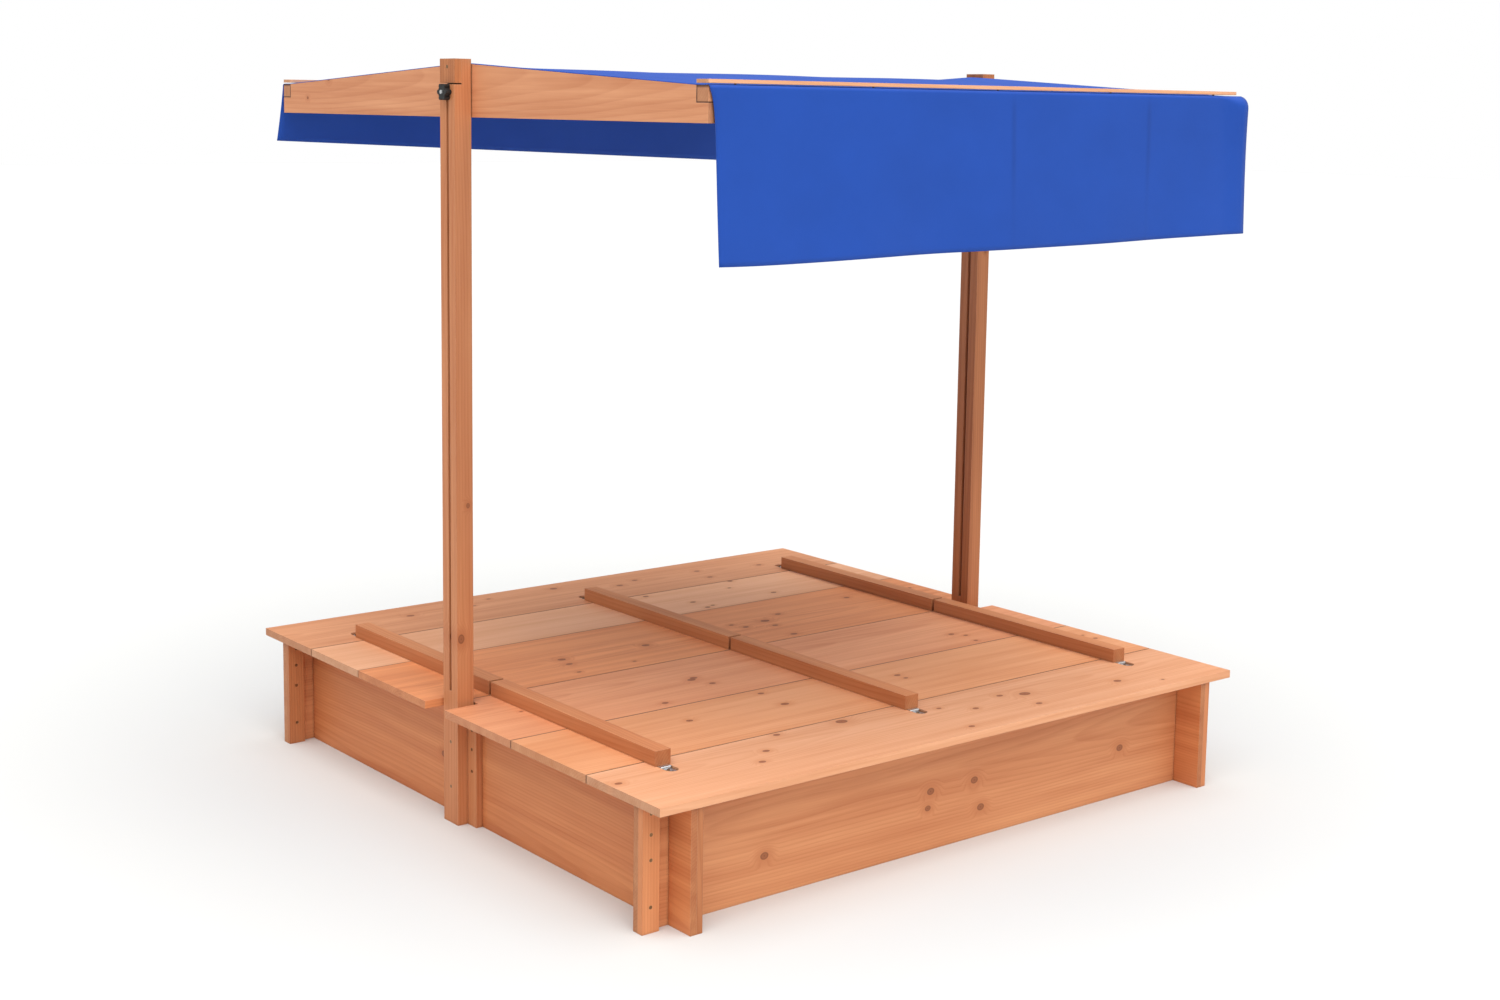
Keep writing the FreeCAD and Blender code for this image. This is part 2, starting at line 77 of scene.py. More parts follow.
class SandboxWood(PropertyGroup):
    """Sizes and colours of the glazed fir."""

    knot: colour_setting("Knot", "Colour of the heart of a knot", "#9C5C39")
    knot_rim: colour_setting("Knot rim", "Colour of the bark ring round a knot", "#6B3B22")
    ring_width: FloatProperty(
        name="Ring width", description="Distance from one growth ring to the next",
        default=4.2 * MM, min=1 * MM, max=15 * MM, unit="LENGTH",
    )
    edge_radius: FloatProperty(
        name="Edge radius", description="Rounding that sanding left on every edge",
        default=1.3 * MM, min=0, max=4 * MM, unit="LENGTH",
    )
    roughness: FloatProperty(
        name="Roughness", description="How matt the glaze has dried",
        default=0.56, min=0, max=1, subtype="FACTOR",
    )


class SandboxCanopy(PropertyGroup):
    """Sizes and colours of the canopy sheet."""

    fabric: colour_setting("Fabric", "Dyed polyester between the threads' highlights", "#194DB0")
    # The shade colour is painted shade in the weave's hollows and along the folds, and the clouds'
    # tone.
    shade: colour_setting("Thread shade", "The same dye in the hollows of the weave", "#16449C")
    thickness: FloatProperty(
        name="Thickness", description="Drawn thickness of the sheet",
        default=0.8 * MM, min=0.2 * MM, max=2 * MM, unit="LENGTH",
    )
    sag: FloatProperty(
        name="Sag", description="How far the ridge drops between the two gable boards",
        default=7 * MM, min=0, max=28 * MM, unit="LENGTH",
    )
    flare: FloatProperty(
        name="Back flare", description="How far the back valance stands out at its hem",
        default=20 * MM, min=0, max=40 * MM, unit="LENGTH",
    )
    lean: FloatProperty(
        name="Front lean", description="How far the front valance's hem is pulled to the right",
        default=11 * MM, min=0, max=25 * MM, unit="LENGTH",
    )
    thread: FloatProperty(
        name="Thread spacing", description="Distance from one drawn thread to the next",
        default=1.8 * MM, min=0.5 * MM, max=5 * MM, unit="LENGTH",
    )


class SandboxFittings(PropertyGroup):
    """Colours of the metal and plastic fittings."""

    zinc: colour_setting("Zinc", "Bright zinc plating", "#F2F3F4")
    tarnish: colour_setting("Tarnish", "Zinc plating that has dulled", "#CDCFD0")
    screw: colour_setting("Screw", "Yellow chromate over zinc", "#A98A66")
    screw_dark: colour_setting("Screw shade", "The same coat where it has dulled", "#6F543A")
    knob: colour_setting("Knob", "Black moulding compound", "#0B0C0D")


class SandboxStage(PropertyGroup):
    """The studio round the sandbox."""

    floor: colour_setting("Floor", "Pale studio floor", "#D4D4D2")
    lamps: FloatProperty(
        name="Lamps", description="Brightness of all lamps together",
        default=1.0, min=0, max=4, subtype="FACTOR",
    )
    sky: FloatProperty(
        name="Sky", description="Light that the white surroundings give",
        default=0.38, min=0, max=4, subtype="FACTOR",
    )


# --- nodes -------------------------------------------------------------------------------------


def add_node(tree, kind, settings=(), inputs=()):
    """Adds one shader node, sets its properties, fills or links its inputs, and returns it."""
    made = tree.nodes.new("ShaderNode" + kind)
    for name, value in dict(settings).items():
        setattr(made, name, value)
    for name, value in dict(inputs).items():
        if isinstance(value, bpy.types.NodeSocket):
            tree.links.new(value, made.inputs[name])
        else:
            made.inputs[name].default_value = value
    return made


def new_material(name):
    """An empty material called after what it is, with its tree and its surface output."""
    made = bpy.data.materials.new(name)
    made.use_nodes = True
    made.node_tree.nodes.clear()
    return made, made.node_tree, add_node(made.node_tree, "OutputMaterial")


def finish_material(tree, output, shader):
    """Joins the finished shader to the material's surface."""
    tree.links.new(shader.outputs[0], output.inputs["Surface"])


# --- glazed fir --------------------------------------------------------------------------------

# How each board took the glaze: early wood, late wood. The salmon, rose and brown stains are
# partly the planks' own colour and partly painted light, lightened to lift the canopy's shadow
# off them; the deep stain is painted shade where it is put on the inner corner battens and the
# right post.
STAINS = {
    "bright": ("#EEB289", "#D69063"),
    "salmon": ("#F2AF7F", "#DB8E5C"),
    "rose": ("#F4AC7D", "#D9895C"),
    "brown": ("#FAA870", "#D68251"),
    "pale": ("#F6BB92", "#E09D70"),
    "warm": ("#E8A67A", "#CC8559"),
    "wall": ("#E39E6D", "#C67B4E"),
    "side": ("#E0935E", "#C47243"),
    "post": ("#D69162", "#BB7146"),
    "batten": ("#E39966", "#C67849"),
    "gable": ("#E3A176", "#C67E55"),
    "deep": ("#CC8555", "#A8633A"),
}
END_GRAIN_SHADE = 0.72      # end grain drinks more glaze and dries darker
FACES_AXIS = 0.7            # a normal with this much of an axis in it belongs to a face across it
JOINT_COLOUR = "#3E1E10"    # painted shade in corners and painted shadow in the gaps between boards
JOINT_REACH = 9 * MM        # how far the painted shade reaches out of a corner
JOINT_SHARE = 0.70          # how much of the painted shade shows in the deepest corner
SEAM_CORE = 0.3 * MM        # half width of a seam's painted shadow at its full darkness
RUB_SHARE = 0.32            # how much of the pale wood the painted highlight on an edge shows
GLOSS_SPREAD = 0.16         # how much the roughness varies from fibre to fibre

# Patterns, in cycles a metre along and across the board.
STREAK = (1.7, 55)          # streaks 0.6 m long and 18 mm wide
FIBRE = (9, 420)            # fibres 110 mm long and 2.4 mm wide, as fine as will show
CLOUD = (2.5, 9)            # the glaze's uneven patches, 400 by 110 mm
WANDER = (1.1, 4.0)         # the drift of the tree's heart
# How much each pattern darkens the wood, and where their sum starts.
RING_WEIGHT, STREAK_WEIGHT, CLOUD_WEIGHT, FIBRE_WEIGHT = 0.26, 1.50, 0.90, 0.50
TONE_START = -0.96
# Early wood to late wood across one growth ring, as (place, darkness).
RING_TONES = ((0.45, 0.10), (0.80, 0.85), (0.92, 1.0))
HEART_DRIFT = 30 * MM       # how far the heart wanders off its line
HEART_SLOPE = 0.022         # and how steeply it runs out of the board

KNOT_STRETCH = 1.35         # a knot is this much longer along the grain than across it
# Round a knot, in knot radii: where an effect is full, where it ends, and how strong it is.
KNOT_BEND = (0.6, 4.5, 10 * MM)     # how far the rings bend
KNOT_CORE = (0.85, 1.20, 0.92)      # the knot's own colour
KNOT_HALO = (1.0, 4.0, 0.75)        # late wood round it
SCATTERED_RADII = (2.2, 2.8, 3.2, 3.8, 4.6)    # of the knots with no place of their own, in mm
EDGE_MARGIN = 8             # and how near to a board's edge they come, in mm


def knot_field(tree, flat, knots):
    """Distance to the nearest knot in knot radii, with flat as (along / stretch, across, 0)."""
    nearest = None
    for along, across, radius in knots:
        centre = (along * MM / KNOT_STRETCH, across * MM, 0)
        reach = add_node(tree, "VectorMath", {"operation": "DISTANCE"}, {0: flat, 1: centre})
        share = add_node(
            tree, "Math", {"operation": "DIVIDE"}, {0: reach.outputs["Value"], 1: radius * MM}
        )
        if nearest is None:
            nearest = share.outputs[0]
        else:
            nearest = add_node(
                tree, "Math", {"operation": "MINIMUM"}, {0: nearest, 1: share.outputs[0]}
            ).outputs[0]
    return nearest


def fir_material(name, wood, axes, stain, knots, pith, seed, seams, sawn):
    """Planed fir with a transparent orange-brown glaze.

    The eye sees soft growth rings that bend round small dark knots, long low streaks, a satin
    sheen broken by the fibres and darker end grain. A lighter line on every edge is a painted
    highlight, and corners and gaps between boards are darkened with painted shade.
    axes are the board's length, width and thickness; pith is the heart's place across and below;
    seams are the edges that meet another board, as (axis, place, darkness, half width), where the
    darkness is a painted shadow of the gap. The last argument is the brightness left to the narrow
    sides, a painted shade that makes them darker than the top.
    """
    material, tree, output = new_material(name)
    place = add_node(tree, "TexCoord")
    split = add_node(tree, "SeparateXYZ", (), {0: place.outputs["Object"]})
    along, across, deep = (split.outputs[a] for a in axes)

    # Each pattern has an offset of its own, so that no two of them lie on each other.
    patterns = []
    for (a, b), offset, detail, rough in (
        (CLOUD, 3.1, 3.0, 0.5), (STREAK, 7.7, 4.0, 0.6), (FIBRE, 1.3, 3.0, 0.7),
        (WANDER, 5.9, 2.0, 0.5),
    ):
        joined = add_node(tree, "CombineXYZ", (), {0: along, 1: across, 2: deep})
        scaled = add_node(
            tree, "VectorMath", {"operation": "MULTIPLY_ADD"},
            {0: joined.outputs[0], 1: (a, b, b), 2: (offset, seed, offset + seed)},
        )
        patterns.append(add_node(
            tree, "TexNoise", (),
            {"Vector": scaled.outputs[0], "Scale": 1.0, "Detail": detail, "Roughness": rough},
        ).outputs["Fac"])
    cloud, streak, fibre, wander = patterns

    # Distance from the heart of the tree, which wanders a little along the board.
    side = add_node(tree, "Math", {"operation": "SUBTRACT"}, {0: across, 1: pith[0] * MM})
    below = add_node(tree, "Math", {"operation": "SUBTRACT"}, {0: deep, 1: pith[1] * MM})
    slope = add_node(
        tree, "Math", {"operation": "MULTIPLY_ADD"},
        {0: along, 1: HEART_SLOPE, 2: below.outputs[0]},
    )
    section = add_node(tree, "CombineXYZ", (), {0: side.outputs[0], 1: slope.outputs[0], 2: 0.0})
    radius = add_node(tree, "VectorMath", {"operation": "LENGTH"}, {0: section.outputs[0]})
    radius = add_node(
        tree, "Math", {"operation": "MULTIPLY_ADD"},
        {0: wander, 1: HEART_DRIFT, 2: radius.outputs["Value"]},
    ).outputs[0]
    if knots:
        stretched = add_node(tree, "Math", {"operation": "DIVIDE"}, {0: along, 1: KNOT_STRETCH})
        flat = add_node(
            tree, "CombineXYZ", (), {0: stretched.outputs[0], 1: across, 2: 0.0}
        ).outputs[0]
        knot = knot_field(tree, flat, knots)
        bend, core, halo = (
            add_node(
                tree, "MapRange", {"interpolation_type": "SMOOTHSTEP"},
                {"Value": knot, "From Min": full, "From Max": end, "To Min": most, "To Max": 0.0},
            ).outputs["Result"]
            for full, end, most in (KNOT_BEND, KNOT_CORE, KNOT_HALO)
        )
        radius = add_node(tree, "Math", {"operation": "ADD"}, {0: radius, 1: bend}).outputs[0]
    turns = add_node(tree, "Math", {"operation": "DIVIDE"}, {0: radius, 1: wood.ring_width})
    phase = add_node(tree, "Math", {"operation": "FRACT"}, {0: turns.outputs[0]})
    ring = add_node(tree, "ValToRGB", (), {"Fac": phase.outputs[0]})
    ramp = ring.color_ramp
    ramp.elements[0].color = (0, 0, 0, 1)
    ramp.elements[1].color = (0.05, 0.05, 0.05, 1)
    for at, grey in RING_TONES:
        ramp.elements.new(at).color = (grey, grey, grey, 1)
    rings = ring.outputs["Color"]

    # The four patterns added up say how dark the wood is at each point.
    dark = add_node(
        tree, "Math", {"operation": "MULTIPLY_ADD"}, {0: rings, 1: RING_WEIGHT, 2: TONE_START}
    ).outputs[0]
    for pattern, weight in (
        (streak, STREAK_WEIGHT), (cloud, CLOUD_WEIGHT), (fibre, FIBRE_WEIGHT),
    ):
        dark = add_node(
            tree, "Math", {"operation": "MULTIPLY_ADD"}, {0: pattern, 1: weight, 2: dark}
        ).outputs[0]
    early, late = (linear(c) for c in STAINS[stain])
    colour = add_node(
        tree, "Mix", {"data_type": "RGBA", "clamp_factor": True}, {0: dark, 6: early, 7: late}
    ).outputs[2]

    # End grain is the face whose normal runs along the board; a narrow side, whose normal runs
    # across it, gets painted shade.
    facing = add_node(tree, "SeparateXYZ", (), {0: place.outputs["Normal"]})
    for axis, share in ((axes[0], END_GRAIN_SHADE), (axes[1], sawn)):
        if share == 1.0:
            continue
        turned = add_node(
            tree, "Math", {"operation": "ABSOLUTE"}, {0: facing.outputs[axis]}
        ).outputs[0]
        turned = add_node(
            tree, "Math", {"operation": "GREATER_THAN"}, {0: turned, 1: FACES_AXIS}
        ).outputs[0]
        colour = add_node(
            tree, "Mix", {"data_type": "RGBA", "blend_type": "MULTIPLY"},
            {0: turned, 6: colour, 7: (share, share, share, 1.0)},
        ).outputs[2]

    height = add_node(
        tree, "Math", {"operation": "MULTIPLY_ADD"}, {0: rings, 1: 0.5, 2: fibre}
    ).outputs[0]
    if knots:
        # The heart fills most of a knot, bark the rest of it, and late wood lies round it.
        tone = add_node(tree, "ValToRGB", (), {"Fac": knot})
        ramp = tone.color_ramp
        heart, rim = (*wood.knot, 1), (*wood.knot_rim, 1)
        ramp.elements[0].position, ramp.elements[0].color = 0.0, rim
        ramp.elements[1].position, ramp.elements[1].color = 1.0, rim
        for at in (0.25, 0.70):
            ramp.elements.new(at).color = heart
        for share, laid in ((halo, late), (core, tone.outputs["Color"])):
            colour = add_node(
                tree, "Mix", {"data_type": "RGBA"}, {0: share, 6: colour, 7: laid}
            ).outputs[2]

    # Painted shade: the colour darkens where ambient occlusion finds a corner or a narrow gap
    # between boards.
    joint = add_node(tree, "AmbientOcclusion", {"samples": 4}, {"Distance": JOINT_REACH})
    joint = add_node(
        tree, "MapRange", {"interpolation_type": "SMOOTHSTEP"},
        {"Value": joint.outputs["AO"], "From Min": 0.10, "From Max": 0.55,
         "To Min": JOINT_SHARE, "To Max": 0.0},
    )
    colour = add_node(
        tree, "Mix", {"data_type": "RGBA"},
        {0: joint.outputs["Result"], 6: colour, 7: linear(JOINT_COLOUR)},
    ).outputs[2]

    # Painted shadow of the gap along each seam where the board meets another.
    for axis, place_mm, darkness, width_mm in seams:
        away = add_node(
            tree, "Math", {"operation": "SUBTRACT"}, {0: split.outputs[axis], 1: place_mm * MM}
        )
        away = add_node(tree, "Math", {"operation": "ABSOLUTE"}, {0: away.outputs[0]})
        line = add_node(
            tree, "MapRange", {"interpolation_type": "SMOOTHSTEP"},
            {"Value": away.outputs[0], "From Min": SEAM_CORE, "From Max": width_mm * MM,
             "To Min": darkness, "To Max": 0.0},
        )
        colour = add_node(
            tree, "Mix", {"data_type": "RGBA"},
            {0: line.outputs["Result"], 6: colour, 7: linear(JOINT_COLOUR)},
        ).outputs[2]

    # Sanded edges: the rounded normal differs from the flat one there, and the colour is mixed
    # towards pale wood, a painted highlight along every edge.
    rounded = add_node(tree, "Bevel", {"samples": 4}, {"Radius": wood.edge_radius})
    flat_normal = add_node(tree, "NewGeometry")
    agree = add_node(
        tree, "VectorMath", {"operation": "DOT_PRODUCT"},
        {0: rounded.outputs[0], 1: flat_normal.outputs["Normal"]},
    )
    rub = add_node(
        tree, "MapRange", (),
        {"Value": agree.outputs["Value"], "From Min": 0.80, "From Max": 0.99,
         "To Min": RUB_SHARE, "To Max": 0.0},
    )
    colour = add_node(
        tree, "Mix", {"data_type": "RGBA"},
        {0: rub.outputs["Result"], 6: colour, 7: linear(STAINS["pale"][0])},
    ).outputs[2]

    gloss = add_node(
        tree, "Math", {"operation": "MULTIPLY_ADD"},
        {0: fibre, 1: GLOSS_SPREAD, 2: wood.roughness - GLOSS_SPREAD / 2},
    )
    relief = add_node(
        tree, "Bump", (),
        {"Strength": 0.35, "Distance": 0.25 * MM, "Height": height, "Normal": rounded.outputs[0]},
    )
    shader = add_node(
        tree, "BsdfPrincipled", (),
        {"Base Color": colour, "Roughness": gloss.outputs[0], "IOR": 1.5,
         "Specular IOR Level": 0.42, "Normal": relief.outputs[0]},
    )
    finish_material(tree, output, shader)
    return material


def in_mm(corner, axis):
    """Where a corner of a board stands on one axis, in millimetres."""
    return corner["XYZ".index(axis)] / MM


def scattered_knots(node, axes, count, seed):
    """Seeded places for a board's knots, as (along, across, radius) in millimetres."""
    low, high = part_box(node)
    chance = random.Random(seed)
    found = []
    for _ in range(count):
        along, across = (
            chance.uniform(in_mm(low, a) + EDGE_MARGIN, in_mm(high, a) - EDGE_MARGIN)
            for a in axes[:2]
        )
        found.append((along, across, chance.choice(SCATTERED_RADII)))
    return found


def dress(node, material):
    """Puts one material on every slot of a CAD node."""
    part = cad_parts[node]
    if not part.material_slots:
        part.data.materials.append(material)
    for slot in part.material_slots:
        slot.link = "OBJECT"
        slot.material = material


def dress_board(node, axes, stain, knots=(), count=0, heart=(0, -60), seams=(), sawn=1.0):
    """Gives one board its own piece of the tree.

    knots are the placed ones and count how many more are scattered. heart is the pith's place from
    the board's middle, across and in thickness, in millimetres. seams are the edges that meet
    another board, as (axis, side, darkness, half width in millimetres), where the darkness is a
    painted shadow of the gap. The last argument is the brightness left to the narrow sides, a
    painted shade.
    """
    wood = bpy.context.scene.sandbox_wood
    # A number of the board's own, made from its name, sets its patterns and scattered knots.
    seed = sum(ord(c) * (i + 1) for i, c in enumerate(node)) % 997
    low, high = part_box(node)
    middle = (low + high) / 2
    pith = tuple(in_mm(middle, axis) + off for axis, off in zip(axes[1:], heart))
    places = list(knots) + scattered_knots(node, axes, count, seed)
    title = "Glazed fir, " + node.replace("_", " ")
    edges = [
        (axis, in_mm(high if side == "high" else low, axis), *look)
        for axis, side, *look in seams
    ]
    dress(node, fir_material(title, wood, axes, stain, places, pith, seed * 0.37, edges, sawn))


# --- one operator for each group of pieces -----------------------------------------------------


class SANDBOX_OT_stage(Operator):
    """Make the camera, the pale floor, the white surroundings and the soft lamps"""

    bl_idname = "sandbox.stage"
    bl_label = "Stage"

    # The camera stands in front and to the left, a little below the height of the canopy.
    PLACE = (-2.1046, -2.6635, 1.0874)
    YAW, PITCH, ROLL = 0.6740, 0.1400, 0.0148
    LENS, SHIFT = 49.95, -0.0667
    LAMPS = (
        # name, place, size, watts
        ("Front softbox", (-1.6, -4.8, 2.4), 3.0, 22),
        ("Left softbox", (-4.6, -1.2, 2.0), 2.6, 2),
    )
    AIM = Vector((0, 0, 0.5))                               # what the softboxes point at
    CEILING_POWER = 4.1
    CEILING_WIDTH = math.radians(85)                        # wide, so that its shadows are soft
    CEILING_TILT = (math.radians(14), math.radians(-6), 0)  # leans the ceiling light to the front
    FLOOR_REACH = 30.0

    def execute(self, context):
        settings = context.scene.sandbox_stage
        self.camera(context)
        self.floor(context, settings)
        self.surroundings(context, settings)
        for name, place, size, watts in self.LAMPS:
            lamp = bpy.data.lights.new(name, "AREA")
            lamp.shape, lamp.size = "DISK", size
            lamp.energy = watts * settings.lamps
            holder = bpy.data.objects.new(name, lamp)
            context.scene.collection.objects.link(holder)
            holder.location = place
            aim = self.AIM - Vector(place)
            holder.rotation_euler = aim.to_track_quat("-Z", "Y").to_euler()
        ceiling = bpy.data.lights.new("Ceiling light", "SUN")
        ceiling.energy, ceiling.angle = self.CEILING_POWER * settings.lamps, self.CEILING_WIDTH
        holder = bpy.data.objects.new("Ceiling light", ceiling)
        context.scene.collection.objects.link(holder)
        holder.rotation_euler = self.CEILING_TILT
        context.scene.view_settings.view_transform = "Standard"
        return {"FINISHED"}

    def camera(self, context):
        """Turned to the right by yaw, down by pitch and on its side by roll."""
        ahead = Vector((
            math.sin(self.YAW) * math.cos(self.PITCH),
            math.cos(self.YAW) * math.cos(self.PITCH),
            -math.sin(self.PITCH),
        ))
        right = Vector((math.cos(self.YAW), -math.sin(self.YAW), 0))
        up = right.cross(ahead)
        turned_right = math.cos(self.ROLL) * right + math.sin(self.ROLL) * up
        turned_up = -math.sin(self.ROLL) * right + math.cos(self.ROLL) * up
        data = bpy.data.cameras.new("Camera")
        data.lens, data.shift_y = self.LENS, self.SHIFT
        eye = bpy.data.objects.new("Camera", data)
        context.scene.collection.objects.link(eye)
        turn = Matrix((turned_right, turned_up, -ahead)).transposed().to_4x4()
        eye.matrix_world = Matrix.Translation(self.PLACE) @ turn
        context.scene.camera = eye

    def floor(self, context, settings):
        """Painted studio floor: matt and even to the eye, so it shows only a soft shadow."""
        reach = self.FLOOR_REACH
        mesh = bpy.data.meshes.new("studio_floor")
        corners = [(-reach, -reach, 0), (reach, -reach, 0), (reach, reach, 0), (-reach, reach, 0)]
        mesh.from_pydata(corners, [], [(0, 1, 2, 3)])
        piece = bpy.data.objects.new("studio_floor", mesh)
        context.scene.collection.objects.link(piece)
        material, tree, output = new_material("Matt floor paint")
        shader = add_node(
            tree, "BsdfPrincipled", (),
            {"Base Color": (*settings.floor, 1), "Roughness": 0.9, "Specular IOR Level": 0.1},
        )
        finish_material(tree, output, shader)
        mesh.materials.append(material)

    def surroundings(self, context, settings):
        """White all round to the eye, with less light than it shows, so edges keep shadows."""
        world = bpy.data.worlds.new("White studio")
        context.scene.world = world
        world.use_nodes = True
        tree = world.node_tree
        tree.nodes.clear()
        seen = add_node(tree, "LightPath").outputs["Is Camera Ray"]
        lit = add_node(
            tree, "Background", (), {"Color": linear("#FFFFFF"), "Strength": settings.sky}
        )
        shown = add_node(tree, "Background", (), {"Color": linear("#FFFFFF"), "Strength": 1.0})
        both = add_node(
            tree, "MixShader", (), {0: seen, 1: lit.outputs[0], 2: shown.outputs[0]}
        )
        output = add_node(tree, "OutputWorld")
        tree.links.new(both.outputs[0], output.inputs["Surface"])


class SANDBOX_OT_deck(Operator):
    """Glaze the six planks of the deck"""

    bl_idname = "sandbox.deck"
    bl_label = "Deck planks"

    PLANKS = {
        # node: glaze, scattered knots, heart's place, placed knots as (along, across, radius)
        "front_rim_plank": ("bright", 3, (30, -45), (
            (-560, -460, 4), (-310, -465, 4), (-345, -500, 4), (-250, -415, 4), (-130, -420, 7),
            (35, -455, 3), (160, -460, 4), (200, -475, 7), (180, -525, 4), (375, -510, 5),
        )),
        # The salmon, rose and brown stains below are partly painted light against the canopy's
        # shadow.
        "front_lid_outer_plank": ("salmon", 3, (-120, -70), (
            (-310, -285, 4), (-140, -300, 5), (110, -280, 4), (110, -300, 3),
        )),
        "front_lid_inner_plank": ("rose", 3, (40, -60), (
            (-285, -190, 4), (-175, -110, 5), (-160, -145, 4), (365, -140, 4), (380, -160, 3),
            (370, -195, 3),
        )),
        "back_lid_inner_plank": ("brown", 5, (-20, -40), (
            (-275, 110, 5), (-280, 80, 4), (-110, 105, 5), (160, 120, 6), (155, 85, 4),
            (105, 105, 4), (210, 145, 4), (395, 170, 4),
        )),
        "back_lid_outer_plank": ("pale", 3, (150, -50), (
            (95, 390, 4), (300, 400, 4), (140, 305, 4), (155, 265, 3), (310, 280, 4),
        )),
        "back_rim_plank": ("warm", 5, (10, -60), (
            (-330, 510, 5), (-10, 540, 5), (155, 510, 4), (300, 505, 4), (290, 450, 4),
            (435, 480, 4),
        )),
    }

    # How dark the painted shadow of the gap behind each plank is, from front to back, and its half
    # width in mm.
    JOINTS = (0.40, 0.80, 0.45, 0.60, 0.45, 0.0)
    JOINT_WIDTH = 1.6

    def execute(self, context):
        before = 0.0
        for (node, (stain, count, heart, knots)), behind in zip(self.PLANKS.items(), self.JOINTS):
            seams = [
                ("Y", side, darkness, self.JOINT_WIDTH)
                for side, darkness in (("low", before), ("high", behind)) if darkness
            ]
            dress_board(node, "XYZ", stain, knots, count, heart, seams)
            before = behind
        return {"FINISHED"}


class SANDBOX_OT_box(Operator):
    """Glaze the four walls and the battens at their corners"""

    bl_idname = "sandbox.box"
    bl_label = "Box walls"

    FRONT_KNOTS = (
        (-355, 60, 5), (-40, 90, 5), (-45, 65, 4), (50, 90, 5), (65, 45, 5), (375, 80, 5),
    )

    def execute(self, context):
        dress_board("front_wall", "XZY", "wall", self.FRONT_KNOTS, heart=(30, 55))
        dress_board("back_wall", "XZY", "wall", count=6, heart=(-40, -50))
        dress_board("left_wall", "YZX", "side", count=2, heart=(-90, 60))
        dress_board("right_wall", "YZX", "side", count=5, heart=(70, -60))
        for side in ("front", "back", "left", "right"):
            axes = "ZXY" if side in ("front", "back") else "ZYX"
            # The inner battens take the darker stain as painted shade in the recess between the
            # walls.
            for kind, stain in (("outer", "batten"), ("inner", "deep")):
                dress_board(f"{side}_{kind}_corner_batten", axes, stain, heart=(60, 30))
        return {"FINISHED"}


class SANDBOX_OT_posts(Operator):
    """Glaze the two slotted posts with their head blocks and cleats"""

    bl_idname = "sandbox.posts"
    bl_label = "Posts"

    # The left post's placed knot shows on its front face. Both posts have a scattered one too.
    KNOTS = {"left": ((290, -541, 5),), "right": ()}

    def execute(self, context):
        # The right post takes the darker stain as painted shade, for its inner face in the
        # canopy's shadow.
        for side, stain in (("left", "post"), ("right", "deep")):
            dress_board(f"{side}_post", "ZXY", stain, self.KNOTS[side], 1, heart=(70, 50))
            dress_board(f"{side}_post_head_block", "ZXY", "deep", heart=(-40, 60))
            dress_board(f"{side}_post_cleat", "ZYX", "post", heart=(50, -40))
        return {"FINISHED"}


class SANDBOX_OT_lid_battens(Operator):
    """Glaze the six battens across the lid"""

    bl_idname = "sandbox.lid_battens"
    bl_label = "Lid battens"

    SAWN = 0.82             # how much brightness is left on their sides: painted shade

    def execute(self, context):
        for leaf in ("front", "back"):
            for place in ("left", "middle", "right"):
                node = f"{leaf}_{place}_lid_batten"
                dress_board(node, "YXZ", "batten", heart=(40, -35), sawn=self.SAWN)
        return {"FINISHED"}


class SANDBOX_OT_canopy_frame(Operator):
    """Glaze the gable boards, rails and clamp strips that carry the sheet"""

    bl_idname = "sandbox.canopy_frame"
    bl_label = "Canopy frame"

    # Half width in mm of the painted shadow of the gap on a rail's upper, lower and inner edge,
    # round its notch.
    UPPER_LINE, LOWER_LINE, INNER_LINE = 4.5, 3.0, 3.2

    def execute(self, context):
        for side in ("left", "right"):
            dress_board(f"{side}_gable_board", "YZX", "gable", count=2, heart=(25, 90))
        for end, inside in (("front", "high"), ("back", "low")):
            seams = (
                ("Z", "high", 1.0, self.UPPER_LINE), ("Z", "low", 1.0, self.LOWER_LINE),
                ("Y", inside, 1.0, self.INNER_LINE),
            )
            dress_board(f"{end}_canopy_rail", "XZY", "warm", heart=(25, 20), seams=seams)
            dress_board(f"{end}_clamp_strip", "XYZ", "pale", heart=(60, -50))
        return {"FINISHED"}


